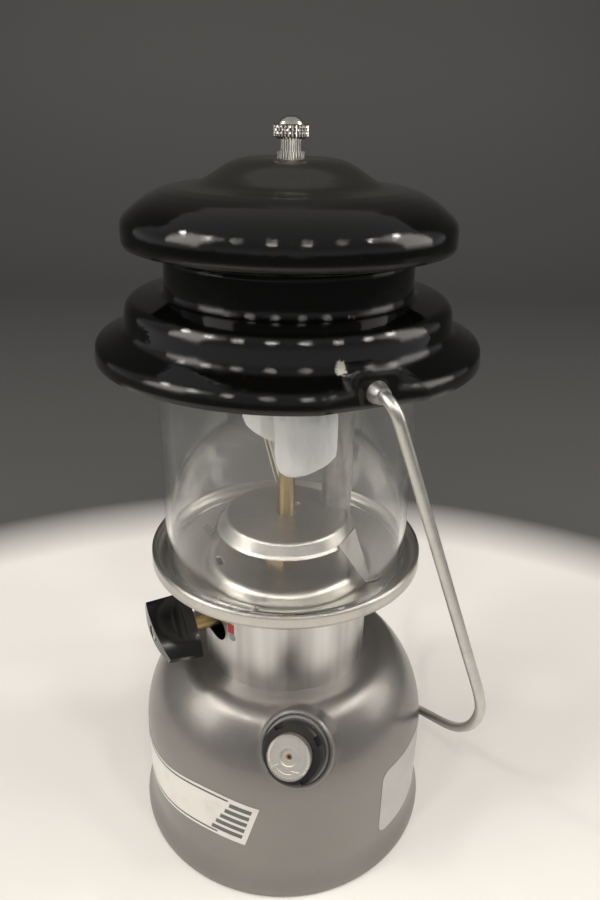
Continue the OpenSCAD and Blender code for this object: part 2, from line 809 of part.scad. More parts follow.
socket_r = mix_r + 1.8;
socket_x = manifold_r + 4;
burner_drop = 10;
burner_h = 9;
module burner_manifold() {
    color("dimgray")
    difference() {
        union() {
            translate([0, 0, manifold_z]) rotate([90, 0, 0])
                cylinder(r = manifold_r, h = 2 * burner_y, center = true);
            for (s = [-1, 1]) translate([0, s * burner_y, manifold_z]) {
                sphere(r = manifold_r);
                translate([0, 0, -burner_drop]) cylinder(r = burner_r - 2, h = burner_drop);
            }
            rotate([0, 90, 0]) translate([-manifold_z, 0, 0]) cylinder(r = socket_r, h = socket_x);
            translate([0, 0, manifold_z]) cylinder(r = 6, h = baffle_z - manifold_z);
        }
        translate([mix_end - 0.1, 0, manifold_z]) rotate([0, 90, 0]) cylinder(r = mix_r + run, h = 20);
        translate([0, 0, manifold_z + 4]) cylinder(r = stud_r + run, h = baffle_z - manifold_z);
        translate([0, 0, manifold_z - 20]) cylinder(r = 2.6, h = 20);
        for (s = [-1, 1]) translate([0, s * burner_y, manifold_z - burner_drop - 1])
            cylinder(r = 4.5, h = 10);
    }
}

burner_z = manifold_z - burner_drop - burner_h;
module burner_caps() {
    color("dimgray")
    for (s = [-1, 1]) translate([0, s * burner_y, burner_z]) difference() {
        union() {
            cylinder(r = burner_r, h = 2.5);
            translate([0, 0, 2.5]) cylinder(r = groove_r, h = 2.5);
            translate([0, 0, 5]) cylinder(r = burner_r, h = burner_h - 5);
        }
        translate([0, 0, 1.4]) cylinder(r = burner_r - 2.8, h = burner_h);
        for (a = [0:45:315]) rotate([0, 0, a]) translate([4, 0, -1]) cylinder(r = 1, h = 4);
        translate([0, 0, -1]) cylinder(r = 1, h = 4);
    }
}

mantle_wall = 0.8;
mantle_neck = burner_r + clear;
groove_r = burner_r - 1.2;
module mantle() {
    turned_sheet(concat(
        [[groove_r + clear, burner_z + 4.6], [groove_r + clear, burner_z + 3.2]],
        [[mantle_neck, burner_z + 2.2]],
        curve([mantle_neck, burner_z], [mantle_r, burner_z - 4], [mantle_r, burner_z - 10],
            [mantle_r, burner_z - mantle_len * 0.5], 6),
        curve([mantle_r, burner_z - mantle_len * 0.5], [mantle_r, burner_z - mantle_len * 0.8],
            [mantle_r - 3, burner_z - mantle_len], [0, burner_z - mantle_len], 6)
    ), mantle_wall);
}
module mantle_front() {
    color("white") translate([0, -burner_y, 0]) mantle();
}
module mantle_rear() {
    color("white") translate([0, burner_y, 0]) mantle();
}

stud_top = cap_top_z + nut_h - 7;
module center_stud() {
    color("silver")
    translate([0, 0, manifold_z + 4]) cylinder(r = stud_r, h = stud_top - manifold_z - 4);
}

module globe() {
    color([0.8, 0.9, 0.9, 0.35])
    translate([0, 0, seat_z0 + clear]) tube(globe_r, globe_r - globe_wall, globe_h);
}

// ---- ventilator ----

tier_top = 295.8;
tier_round = 5.4;
tier_foot = 281.6;
brim_round = 3.2;
brim_shoulder = 278.2;

// Outer surface of the hood from the band's top edge down and out to the brim's lower edge, moved in by t
function hood_line(t) = concat(
    [[band_r - 0.3 - t, band_top_z], [band_r - t, tier_top + 3.4]],
    arc(band_r + 2.6, tier_top + 3.2, 2.6 + t, 180, 262, 5),
    [[band_r + 6.5, tier_top - t]],
    arc(tier_r - 0.4 - tier_round, tier_top - 0.9 - tier_round, tier_round - t, 84, 4, 7),
    arc(tier_r + 3.6, tier_foot + 2.6, 3 + t, 184, 255, 5),
    arc(brim_r - 0.4 - brim_round, brim_shoulder - brim_round - 0.9, brim_round - t, 70, 4, 6),
    [[brim_r - t, brim_z]]
);

module hood_space(t) {
    rotate_extrude() polygon(concat(
        [[0, brim_z - (t > 0 ? 1 : 0)], [0, band_top_z + (t > 0 ? 1 : 0)]],
        t > 0 ? [[band_r - 0.3 - t, band_top_z + 1]] : [],
        hood_line(t),
        t > 0 ? [[brim_r - t, brim_z - 1]] : []
    ));
}

// Bail ears: blocks that carry the upper tier's shoulder out to a flat face
ear_top = 285.4;
ear_lean = 26;
ear_corner = 2.6;
ear_flare = 5;
module ear_outline(t) {
    w = ear_half - t;
    h = ear_top - t;
    low = brim_z - 1;
    polygon(concat(
        [[-w - ear_flare, low]],
        arc(-w - ear_flare, brim_z + 8, ear_flare, -90, 0, 4),
        arc(-w + ear_corner, h - ear_corner, ear_corner, 180, 90, 4),
        arc(w - ear_corner, h - ear_corner, ear_corner, 90, 0, 4),
        arc(w + ear_flare, brim_z + 8, ear_flare, 180, 270, 4),
        [[w + ear_flare, low]]
    ));
}
module ear(s, t) {
    // the outline is drawn in the X-Z plane and run inwards and up along its lean
    intersection() {
        translate([0, s * face_y, ear_top]) rotate([s * ear_lean, 0, 0]) translate([0, 0, -ear_top])
            translate([0, s > 0 ? 0 : 24, 0]) rotate([90, 0, 0])
                linear_extrude(24) ear_outline(t);
        translate([-40, s > 0 ? 50 : -100, brim_z - (t > 0 ? 1 : 0)]) cube([80, 50, 40]);
    }
}

module hood() {
    color([0.04, 0.04, 0.04])
    difference() {
        intersection() {
            union() {
                hood_space(0);
                ear(-1, 0);
                ear(1, 0);
            }
            translate([-100, -face_y, 0]) cube([200, 2 * face_y, 400]);
        }
        intersection() {
            union() {
                hood_space(hood_wall);
                ear(-1, hood_wall);
                ear(1, hood_wall);
            }
            translate([-100, -face_y + hood_wall, 0]) cube([200, 2 * (face_y - hood_wall), 400]);
        }
        translate([0, -100, pivot_z]) rotate([-90, 0, 0]) cylinder(r = eyelet_r, h = 200);
    }
}

eyelet_r = 3.6;
eyelet_base_r = 4.5;
eyelet_tip_r = 3.3;
eyelet_len = 5;
eyelet_flange = 1;
leg_y = face_y + eyelet_len + leg_gap;
module bail_eyelets() {
    color("silver")
    for (s = [-1, 1]) translate([0, s * face_y, pivot_z]) rotate([-90 * s, 0, 0]) difference() {
        union() {
            translate([0, 0, run]) cylinder(r1 = eyelet_base_r, r2 = eyelet_tip_r, h = eyelet_len - run);
            translate([0, 0, -hood_wall - eyelet_flange])
                cylinder(r = eyelet_r - run, h = hood_wall + eyelet_flange + 2 * run);
            translate([0, 0, -hood_wall - eyelet_flange - run])
                cylinder(r = eyelet_base_r, h = eyelet_flange);
        }
        translate([0, 0, -eyelet_len]) cylinder(r = wire_r + run, h = 3 * eyelet_len);
    }
}

baffle_z = 304;
baffle_wall = 0.8;
arm_w = 12;
tab_x = sqrt(pow(band_r - hood_wall - run, 2) - arm_w * arm_w / 4);
module baffle() {
    color("silver")
    translate([0, 0, baffle_z]) difference() {
        union() {
            cylinder(r = baffle_r, h = baffle_wall);
            cylinder(r = 12, h = 3);
            for (a = [45:90:315]) rotate([0, 0, a]) {
                translate([baffle_r - 4, -arm_w / 2, 0]) cube([tab_x - baffle_r + 4, arm_w, baffle_wall]);
                translate([tab_x - baffle_wall, -arm_w / 2, -3]) cube([baffle_wall, arm_w, 9]);
            }
        }
        translate([0, 0, -1]) cylinder(r = stud_r + clear, h = 10);
    }
}

spacer_r = 5;
module vent_spacer() {
    color("silver")
    translate([0, 0, baffle_z + 3]) tube(spacer_r, stud_r + clear, cap_top_z - hood_wall - baffle_z - 3);
}

crown_r = 26;
valley_r = 42;
cap_line = concat(
    [[stud_r + 1, cap_top_z], [14, cap_top_z]],
    curve([14, cap_top_z], [crown_r - 3, cap_top_z], [crown_r + 1, cap_top_z - 2.6],
        [33, cap_top_z - 6.6], 6),
    curve([33, cap_top_z - 6.6], [37, cap_top_z - 8.8], [39, cap_top_z - 10.6],
        [valley_r + 3, cap_top_z - 11], 5),
    curve([valley_r + 3, cap_top_z - 11], [57, cap_top_z - 11.2], [64, cap_top_z - 17],
        [cap_r - 3, cap_top_z - 21.6], 6),
    curve([cap_r - 3, cap_top_z - 21.6], [cap_r - 0.6, cap_top_z - 23.6], [cap_r, cap_top_z - 25.4],
        [cap_r, cap_top_z - 28], 4),
    [[cap_r, cap_z + 2], [cap_r - 0.6, cap_z]]
);
module vent_cap() {
    color([0.04, 0.04, 0.04])
    turned_sheet(cap_line, -hood_wall);
}

nut_bore_h = nut_h - 7 + 1;
module ball_nut() {
    color("gainsboro")
    translate([0, 0, cap_top_z]) difference() {
        union() {
            cylinder(r = 5.7, h = 2.2);
            cylinder(r = 4.2, h = nut_h - 6);
            rotate_extrude() polygon(concat(
                [[0, 7], [nut_r - 1.6, 7], [nut_r - 0.6, 7.8], [nut_r - 0.6, 12.4]],
                arc(0, 9.4, nut_h - 9.4, 28, 90, 6)
            ));
            translate([0, 0, 8]) linear_extrude(4.2)
                polygon([for (i = [0:2 * nut_teeth - 1])
                    let (a = i * 180 / nut_teeth, r = nut_r - (i % 2) * 0.4)
                    [r * cos(a), r * sin(a)]]);
        }
        translate([0, 0, -1]) cylinder(r = stud_r + run, h = 1 + nut_bore_h);
    }
}

// ---- bail ----

// Headings of the wire, degrees turned from its way out through the eyelet: on the leg, after the
// shoulder's bend, along the slope and at the middle
leg_turn = 90 - leg_spread;
shoulder_turn = 90 + corner_turn;
slope_turn = 90 + bow_turn;
eye_bend = 8;
head_in = face_y - hood_wall - eyelet_flange - 3;
head_r = 3.4;
head_t = 1.6;

// How far the wire has come out, and down, after each bend; the slope's length closes it at the middle
bends_out = leg_y + eye_bend * sin(leg_turn) + leg_len * cos(leg_turn)
    + corner_r * (sin(shoulder_turn) - sin(leg_turn)) + bow_r * (sin(slope_turn) - sin(shoulder_turn));
slope_len = (bends_out - peak_r * sin(slope_turn)) / -cos(slope_turn);
bail_drop = eye_bend * (1 - cos(leg_turn)) + leg_len * sin(leg_turn)
    + corner_r * (cos(leg_turn) - cos(shoulder_turn)) + bow_r * (cos(shoulder_turn) - cos(slope_turn))
    + slope_len * sin(slope_turn) + peak_r * (1 + cos(slope_turn));

// The bail hangs until its middle meets the tank's side
bail_tilt = asin((tank_r + wire_r + clear) / bail_drop);

// Wire laid along +Z from the origin: each step is [length], or [radius, angle] for a bend towards +Y.
// Neighbouring steps stop a hair short of each other, inside a ball that is a hair fuller than the wire
module wire(steps, i = 0) {
    if (i > 0) sphere(r = wire_r + tiny);
    if (i < len(steps)) {
        step = steps[i];
        if (len(step) == 1) {
            cylinder(r = wire_r, h = step[0] - tiny);
            translate([0, 0, step[0]]) wire(steps, i + 1);
        } else translate([0, step[0], 0]) {
            rotate([90, 0, -90]) wire_arc(step[0], step[1]);
            rotate([-step[1], 0, 0]) translate([0, -step[0], 0]) wire(steps, i + 1);
        }
    }
}
module wire_arc(radius, angle) {
    rotate_extrude(angle = angle - tiny / radius * 180 / PI) translate([radius, 0]) circle(r = wire_r);
}
module bail() {
    color("darkgray")
    translate([0, 0, pivot_z]) rotate([0, -bail_tilt, 0]) {
        for (s = [0, 1]) mirror([0, s, 0]) translate([0, head_in, 0]) rotate([-90, 0, 0]) {
            cylinder(r = head_r, h = head_t);
            wire([
                [leg_y - head_in],
                [eye_bend, leg_turn],
                [leg_len],
                [corner_r, shoulder_turn - leg_turn],
                [bow_r, slope_turn - shoulder_turn],
                [slope_len]
            ]);
        }
        translate([0, 0, peak_r - bail_drop]) rotate([0, 90, 0]) rotate([0, 0, slope_turn - 180])
            wire_arc(peak_r, 2 * (180 - slope_turn));
    }
}

tank_shell();
tank_bottom();
tank_bush();
filler_neck();
filler_gasket();
filler_cap();
pump_barrel();
pump_cap();
pump_rod();
pump_knob();
pump_cup();
cup_retainer();
check_valve();
air_stem();
fuel_tube();
fuel_strainer();
valve_body();
packing_nut();
valve_stem();
valve_knob();
knob_screw();
collar();
tray();
tray_nut();
heat_shield();
generator();
generator_nut();
cleaning_rod();
mixing_tube();
burner_manifold();
burner_caps();
mantle_front();
mantle_rear();
center_stud();
globe();
hood();
baffle();
vent_spacer();
vent_cap();
ball_nut();
bail();
bail_eyelets();
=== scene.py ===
import math

import bmesh
import bpy
from mathutils import Matrix, Vector, noise


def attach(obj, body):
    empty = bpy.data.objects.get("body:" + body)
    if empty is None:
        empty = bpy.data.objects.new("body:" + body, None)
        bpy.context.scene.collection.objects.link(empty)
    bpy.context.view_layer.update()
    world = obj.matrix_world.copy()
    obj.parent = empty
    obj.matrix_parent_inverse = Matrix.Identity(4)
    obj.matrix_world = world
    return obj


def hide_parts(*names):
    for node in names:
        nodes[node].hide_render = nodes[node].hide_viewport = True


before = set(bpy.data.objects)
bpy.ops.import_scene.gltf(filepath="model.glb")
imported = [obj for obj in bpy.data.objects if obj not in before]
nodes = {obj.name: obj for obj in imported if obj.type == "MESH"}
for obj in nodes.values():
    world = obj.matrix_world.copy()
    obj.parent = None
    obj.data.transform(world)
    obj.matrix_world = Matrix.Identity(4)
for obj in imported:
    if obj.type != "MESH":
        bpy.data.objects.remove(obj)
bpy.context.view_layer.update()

# ---- camera -------------------------------------------------------------------------------------
# A short lens close in front of the lantern and level with its top, on the pump's side. It is
# tipped down to take in the foot, and leans by a degree.
scene = bpy.context.scene
camera_round = math.radians(-23)  # round the lantern from its bail's pivot line
camera_far = 0.33662  # metres, as every length in this file is unless its comment says otherwise
camera_high = 0.37
camera_down = math.radians(24.4)
camera_aside = math.radians(1.079)
camera_roll = math.radians(1.14)
lens = bpy.data.cameras.new("camera")
lens.lens = 30
lens.sensor_width = 36
lens.clip_start = 0.01
camera = bpy.data.objects.new("camera", lens)
camera.matrix_world = (
    Matrix.Rotation(camera_round, 4, "Z")
    @ Matrix.Translation((0, -camera_far, camera_high))
    @ Matrix.Rotation(-camera_aside, 4, "Z")
    @ Matrix.Rotation(math.pi / 2 - camera_down, 4, "X")
    @ Matrix.Rotation(camera_roll, 4, "Z")
)
scene.collection.objects.link(camera)
scene.camera = camera
scene.view_settings.view_transform = "Standard"


# ---- studio -------------------------------------------------------------------------------------
# A round pale table before a dark sweep, a broad lamp on each side, and an arc of eight small ones
# above the front. A dim room gives the enamel and the plated parts something to reflect.
class Value:
    """A shader socket that can stand in a sum: numbers and other values may be on either side."""

    def __init__(self, look, socket):
        self.look = look
        self.socket = socket

    def __add__(self, other):
        return self.look.maths("ADD", self, other)

    def __sub__(self, other):
        return self.look.maths("SUBTRACT", self, other)

    def __rsub__(self, other):
        return self.look.maths("SUBTRACT", other, self)

    def __mul__(self, other):
        return self.look.maths("MULTIPLY", self, other)

    def __pow__(self, other):
        return self.look.maths("POWER", self, other)

    def __lt__(self, other):
        return self.look.maths("LESS_THAN", self, other)

    def __gt__(self, other):
        return self.look.maths("GREATER_THAN", self, other)

    def __abs__(self):
        return self.look.maths("ABSOLUTE", self)

    __radd__ = __add__
    __rmul__ = __mul__


class Look:
    """A material or world: add() puts in a node and gives its output as a Value."""

    def __init__(self, name, kind="materials", output="OutputMaterial"):
        self.data = getattr(bpy.data, kind).new(name)
        self.data.use_nodes = True
        self.tree = self.data.node_tree
        self.tree.nodes.clear()
        self.out = self.tree.nodes.new("ShaderNode" + output)

    def add(self, kind, settings=None, inputs=None, output=0):
        node = self.tree.nodes.new("ShaderNode" + kind)
        for name, value in (settings or {}).items():
            if name == "stops":
                ramp = node.color_ramp.elements
                while len(ramp) < len(value):
                    ramp.new(0.5)
                for stop, (place, colour) in zip(ramp, value):
                    if not isinstance(colour, tuple):
                        colour = (colour, colour, colour, 1)
                    stop.position = place
                    stop.color = colour
            else:
                setattr(node, name, value)
        for name, value in (inputs or {}).items():
            if isinstance(value, Value):
                self.tree.links.new(value.socket, node.inputs[name])
            elif value is not None:
                node.inputs[name].default_value = value
        return Value(self, node.outputs[output])

    def maths(self, operation, first, second=0.0):
        return self.add("Math", {"operation": operation}, {0: first, 1: second})

    def mix(self, share, low, high):
        """A colour between two colours."""
        return self.add("Mix", {"data_type": "RGBA"}, {0: share, 6: low, 7: high}, output=2)

    def ramp(self, value, stops):
        """A value led through stops, each a place from 0 to 1 and what the value becomes there."""
        return self.add("ValToRGB", {"stops": stops}, {0: value})

    def place(self):
        """Where a point is on the object, in metres."""
        return self.add("TexCoord", output=3)

    def noise(self, scale, detail=4, roughness=0.55, at=None):
        """Cloudy noise with so many waves to the metre, or to a unit of at."""
        inputs = {"Scale": scale, "Detail": detail, "Roughness": roughness}
        inputs["Vector"] = at or self.place()
        return self.add("TexNoise", {}, inputs)

    def axes(self, centre=(0.0, 0.0, 0.0)):
        """Distances along X, Y and Z from a point, one Value each."""
        apart = self.add("VectorMath", {"operation": "SUBTRACT"}, {0: self.place(), 1: centre})
        split = self.add("SeparateXYZ", {}, {0: apart}).socket.node
        return [Value(self, socket) for socket in split.outputs]

    def around(self, x, y):
        """The angle round an axis, in radians."""
        return self.maths("ARCTAN2", y, x)

    def stretched(self, x, y, z):
        """A place to read noise at, with waves to the metre along each axis, for brushed grain."""
        return self.add("VectorMath", {"operation": "MULTIPLY"}, {0: self.place(), 1: (x, y, z)})

    def rounded(self, radius, samples=6):
        """The surface's normal with its edges softened, which melts the bands of turned faces."""
        return self.add("Bevel", {"samples": samples}, {"Radius": radius})

    def bump(self, height, distance, strength=1.0, normal=None):
        inputs = {"Height": height, "Distance": distance, "Strength": strength, "Normal": normal}
        return self.add("Bump", {}, inputs)

    def finish(self, **inputs):
        """A material made of the Principled shader, with its sockets given by name."""
        inputs = {name.replace("_", " "): value for name, value in inputs.items()}
        shader = self.add("BsdfPrincipled", {}, inputs)
        self.tree.links.new(shader.socket, self.out.inputs["Surface"])
        return self.data


def paint(names, material):
    """Gives CAD nodes a finish."""
    for name in names:
        mesh = nodes[name].data
        mesh.materials.clear()
        mesh.materials.append(material)


floor_white = (0.88, 0.855, 0.82, 1)
backdrop_grey = (0.09, 0.089, 0.088, 1)
table_forward = 0.2  # how far the table's middle is in front of the lantern
table_edge = (0.49, 0.57)  # its radius where it starts to fade, and where the sweep's grey begins
sweep_near = -2.6
sweep_far = 1.3
sweep_wide = 6.0
sweep_high = 3.0
sweep_bend = 0.6
bend_steps = 10
sweep = bmesh.new()
outline = [(sweep_near, 0.0)]
outline += [
    (sweep_far + sweep_bend * math.sin(a), sweep_bend * (1 - math.cos(a)))
    for a in [math.radians(90 / bend_steps * i) for i in range(bend_steps + 1)]
]
outline += [(sweep_far + sweep_bend, sweep_high)]
rows = [[sweep.verts.new((x, y, z)) for y, z in outline] for x in (-sweep_wide / 2, sweep_wide / 2)]
for i in range(len(outline) - 1):
    sweep.faces.new((rows[0][i], rows[1][i], rows[1][i + 1], rows[0][i + 1])).smooth = True
mesh = bpy.data.meshes.new("floor")
sweep.to_mesh(mesh)
floor = bpy.data.objects.new("floor", mesh)
floor.rotation_euler.z = camera_round
scene.collection.objects.link(floor)
look = Look("floor")
x, y, z = look.axes()
from_middle = (x * x + (y + table_forward) * (y + table_forward) + z * z) ** 0.5
far = look.ramp(from_middle, [(table_edge[0], 0.0), (table_edge[1], 1.0)])
mesh.materials.append(look.finish(
    Base_Color=look.mix(far, floor_white, backdrop_grey),
    Roughness=0.6,
))

# name, place, what it faces, width, height, power
lamps = [
    ("lamp_left", (-1.2, -0.4, 0.95), (0, 0, 0.15), 0.7, 1.2, 10.5),
    ("lamp_right", (1.25, 0.0, 0.85), (0, 0, 0.15), 0.7, 1.3, 8.0),
]
arc_lamps = 8
arc_step = 27  # degrees from one lamp to the next
arc_radius = 1.15
arc_high = 1.45
for i in range(arc_lamps):
    a = math.radians(arc_step * (i - (arc_lamps - 1) / 2))
    place = (arc_radius * math.sin(a), -arc_radius * math.cos(a), arc_high)
    lamps.append(("lamp_ring_%d" % (i + 1), place, (0, 0, 0.2), 0.16, 0.08, 2.8))
lamp_white = (1.0, 0.955, 0.885)
for name, place, aim, wide, high, power in lamps:
    data = bpy.data.lights.new(name, "AREA")
    data.shape = "RECTANGLE"
    data.size = wide
    data.size_y = high
    data.energy = power
    data.color = lamp_white
    lamp = bpy.data.objects.new(name, data)
    turn = Matrix.Rotation(camera_round, 3, "Z")
    spot = turn @ Vector(place)
    lamp.location = spot
    lamp.rotation_euler = (turn @ Vector(aim) - spot).to_track_quat("-Z", "Y").to_euler()
    scene.collection.objects.link(lamp)

# The room is light below, darkest a little above the level, and lighter again overhead.
room = Look("room", "worlds", "OutputWorld")
height = room.add("SeparateXYZ", {}, {0: room.add("TexCoord", output=0)}, output=2)
shade = room.ramp(height * 0.5 + 0.5, [(0.0, 0.42), (0.5, 0.3), (0.62, 0.16), (1.0, 0.22)])
glow = room.add("Background", {}, {"Color": shade, "Strength": 1.4})
room.tree.links.new(glow.socket, room.out.inputs["Surface"])
scene.world = room.data

# ---- tank ---------------------------------------------------------------------------------------
# A drawn steel tank sprayed with metallic grey enamel and baked, with the boss pressed up round the
# pump. Its foot is rolled in and the dished bottom is seated on the lip.
look = Look("tank_enamel")
flake = look.noise(9000, 1)
cloud = look.noise(22, 5)
wear = look.ramp(look.noise(55, 8, 0.72), [(0.60, 0.0), (0.78, 1.0)])
soft = look.rounded(0.003)
colour = look.mix(cloud, (0.195, 0.185, 0.175, 1), (0.25, 0.237, 0.223, 1))
colour = look.mix(wear * 0.2, colour, (0.31, 0.3, 0.29, 1))
paint(["tank_shell", "tank_bottom"], look.finish(
    Base_Color=colour,
    Metallic=0.72,
    Roughness=0.29 + 0.08 * cloud + 0.04 * wear,
    Normal=look.bump(flake, 0.00003, 0.6, look.bump(cloud, 0.0012, 0.12, soft)),
    Coat_Weight=0.3,
    Coat_Roughness=0.13,
))

# ---- tank labels --------------------------------------------------------------------------------
# Two thin vinyl labels stuck round the tank: a striped band in white and dark grey to the left of
# the pump, and a silver plate with rounded corners to the right of it. Both are left without words.
film_thick = 0.00012
print_thick = 1.5 * film_thick
clear_of_all = 0.2  # a radius outside the whole lantern


def on_shell(node, round_axis, height, proud):
    """The point on a round node's outside at an angle and a height, a little proud of it."""
    away = Vector((math.cos(round_axis), math.sin(round_axis), 0.0))
    to_node = node.matrix_world.inverted()
    start = to_node @ (away * clear_of_all + Vector((0, 0, height)))
    _, place, normal, _ = node.ray_cast(start, to_node.to_3x3() @ -away)
    return node.matrix_world @ place + (node.matrix_world.to_3x3() @ normal).normalized() * proud


def film(mesh, node, outline, across, down, proud, finish):
    """A patch of film on a round node: outline(u, v) gives its angle in degrees, height in mm."""
    rows = []
    for j in range(down + 1):
        spots = [outline(i / across, j / down) for i in range(across + 1)]
        rows.append([
            mesh.verts.new(on_shell(node, math.radians(a), z / 1000, proud)) for a, z in spots
        ])
    for upper, lower in zip(rows, rows[1:]):
        for i in range(across):
            face = mesh.faces.new((upper[i], lower[i], lower[i + 1], upper[i + 1]))
            face.material_index = finish
            face.smooth = True


def stuck(name, mesh, materials, body="tank"):
    """A piece made of a mesh, which moves with a body."""
    data = bpy.data.meshes.new(name)
    mesh.normal_update()
    mesh.to_mesh(data)
    for material in materials:
        data.materials.append(material)
    piece = bpy.data.objects.new(name, data)
    scene.collection.objects.link(piece)
    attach(piece, body)
    return piece


# The striped band, in degrees round the tank and millimetres up it.
band_left = -205.0
band_right = -122.6
band_lean = 5.6  # that its ends lean over from top to bottom
band_top = 55.6
band_tall = 27.0
arch_rise = 7.8
arch_middle = -142
arch_reach = 24


def band(from_left, from_top, left=0.0, right=1.0, top=0.0, bottom=1.0):
    """A spot on the striped band, as shares of its length and height: its middle is arched."""
    down = top + (bottom - top) * from_top
    along = left + (right - left) * from_left
    a = band_left + (band_right - band_left) * along - band_lean * (down - 0.2)
    arch = math.exp(-((a - arch_middle) / arch_reach) ** 2)
    return a, band_top + arch_rise * (1 - 0.25 * down) * arch - band_tall * down


shell = nodes["tank_shell"]
mesh = bmesh.new()
film(mesh, shell, band, 60, 8, film_thick, 0)
for top, bottom in ((0.055, 0.095), (0.905, 0.945)):
    film(mesh, shell, lambda u, v: band(u, v, 0.02, 0.86, top, bottom), 50, 1, print_thick, 1)
bars = 5
bar_tall = 0.1
bar_step = 0.166
for i in range(bars):
    left = 0.872 - 0.012 * i
    top = 0.105 + bar_step * i
    bottom = top + bar_tall
    film(mesh, shell, lambda u, v: band(u, v, left, 0.975, top, bottom), 12, 2, print_thick, 1)
look = Look("label_white")
soil = look.noise(70, 7, 0.68)
soiled = look.ramp(soil, [(0.5, 0.0), (0.8, 1.0)])
white = look.finish(
    Base_Color=look.mix(soiled, (0.72, 0.7, 0.66, 1), (0.58, 0.55, 0.5, 1)),
    Roughness=0.38 + 0.12 * soil,
    Normal=look.bump(look.noise(420, 3), 0.00005, 0.3),
)
look = Look("label_ink")
soil = look.noise(90, 6, 0.65)
ink = look.finish(
    Base_Color=look.mix(soil, (0.085, 0.085, 0.09, 1), (0.13, 0.128, 0.125, 1)),
    Roughness=0.36 + 0.14 * soil,
    Normal=look.bump(soil, 0.00004, 0.3),
)
stuck("striped_band", mesh, [white, ink])

# The silver plate, in the same measures.
plate_left, plate_right = -71.8, -33.0
plate_top, plate_bottom = 63.4, 19.6
plate_corner = 6.0
plate_radius = 77.3  # of the tank under it


def plate(from_left, from_top):
    """A spot on the silver plate, whose corners are rounded: rows lie closer together there."""
    z = plate_top + (plate_bottom - plate_top) * (0.5 - 0.5 * math.cos(math.pi * from_top))
    edge = min(plate_top - z, z - plate_bottom, plate_corner)
    inset = plate_corner - math.sqrt(plate_corner**2 - (plate_corner - edge) ** 2)
    a = inset / plate_radius * 180 / math.pi
    return plate_left + a + (plate_right - plate_left - 2 * a) * from_left, z


mesh = bmesh.new()
film(mesh, shell, plate, 24, 28, film_thick, 0)
look = Look("label_silver")
soil = look.noise(65, 7, 0.7)
stuck("bare_plate", mesh, [look.finish(
    Base_Color=look.mix(soil, (0.42, 0.415, 0.41, 1), (0.58, 0.57, 0.56, 1)),
    Metallic=0.35,
    Roughness=0.36 + 0.15 * soil,
    Normal=look.bump(look.noise(500, 3), 0.00005, 0.3),
)])

# ---- brasswork ----------------------------------------------------------------------------------
# Turned brass: the bush, filler neck, pickup tube and strainer, the valve with its packing nut and
# stem, the tray's nut, and the pump's check valve and air stem. Handling has dulled it.
look = Look("brass")
stain = look.noise(60, 6, 0.65)
rings = look.noise(1.0, 3, 0.6, look.stretched(40, 40, 2500))
paint(
    ["tank_bush", "filler_neck", "fuel_tube", "fuel_strainer", "valve_body", "packing_nut",
     "valve_stem", "tray_nut", "check_valve", "air_stem"],
    look.finish(
        Base_Color=look.mix(stain, (0.47, 0.33, 0.13, 1), (0.80, 0.62, 0.31, 1)),
        Metallic=1.0,
        Roughness=0.24 + 0.22 * stain,
        Normal=look.bump(rings, 0.00004, 0.5),
    ),
)

# ---- filler -------------------------------------------------------------------------------------
# A screw cap of die-cast aluminium with a ribbed grip, at the back of the tank's shoulder. It
# closes the brass neck on a rubber gasket.
look = Look("cast_aluminium")
grain = look.noise(900, 4)
paint(["filler_cap"], look.finish(
    Base_Color=look.mix(grain, (0.55, 0.55, 0.56, 1), (0.7, 0.7, 0.7, 1)),
    Metallic=1.0,
    Roughness=0.36 + 0.12 * grain,
    Normal=look.bump(grain, 0.00008, 0.5),
))
look = Look("rubber")
paint(["filler_gasket"], look.finish(Base_Color=(0.02, 0.02, 0.02, 1), Roughness=0.7))

# ---- pump ---------------------------------------------------------------------------------------
# A steel barrel held by a black moulded cap with three wrench notches. The plunger's hollow rod
# ends in a die-cast knob with a serrated edge and a dished middle. An arrow for the way it turns,
# and a ring round the air hole, are raised in the casting.
look = Look("pump_black")
haze = look.noise(180, 5)
paint(["pump_cap"], look.finish(
    Base_Color=look.mix(haze, (0.004, 0.004, 0.004, 1), (0.012, 0.0115, 0.011, 1)),
    Roughness=0.42 + 0.15 * haze,
    Normal=look.bump(haze, 0.0001, 0.3),
))
look = Look("pump_disc")
grain = look.noise(1200, 4)
disc_metal = look.finish(
    Base_Color=look.mix(grain, (0.68, 0.65, 0.6, 1), (0.88, 0.85, 0.79, 1)),
    Metallic=1.0,
    Roughness=0.34 + 0.12 * grain,
    Normal=look.bump(grain, 0.00006, 0.5),
)
paint(["pump_knob"], disc_metal)

# The knob's face, and the marks on it in millimetres and degrees.
disc_face = Vector((-0.030151, -0.077037, 0.100303))
disc_out = Vector((-0.550977, -0.656628, 0.515038))
disc_up = (Vector((0, 0, 1)) - disc_out * disc_out.z).normalized()
disc_right = disc_up.cross(disc_out)
teeth = 60
tooth_in, tooth_out = 8.9, 10.35
arrow_in, arrow_out = 7.4, 8.4
arrow_start, arrow_end = 226, 292
ring_in, ring_out = 4.2, 4.7
ring_parts = 36
sunk = -0.1  # under the face, so that no gap shows
air_hole = 0.8
air_stem_end = -1.36


def raised(mesh, outline, low, high):
    """A small block on the disc: its outline as radius and angle, and its two heights."""
    ends = []
    for rise in (low, high):
        ends.append([mesh.verts.new(disc_face + (
            disc_right * r * math.cos(math.radians(a)) + disc_up * r * math.sin(math.radians(a))
            + disc_out * rise) / 1000) for r, a in outline])
    mesh.faces.new(ends[1])
    for i in range(len(outline)):
        k = (i + 1) % len(outline)
        mesh.faces.new((ends[0][i], ends[0][k], ends[1][k], ends[1][i]))


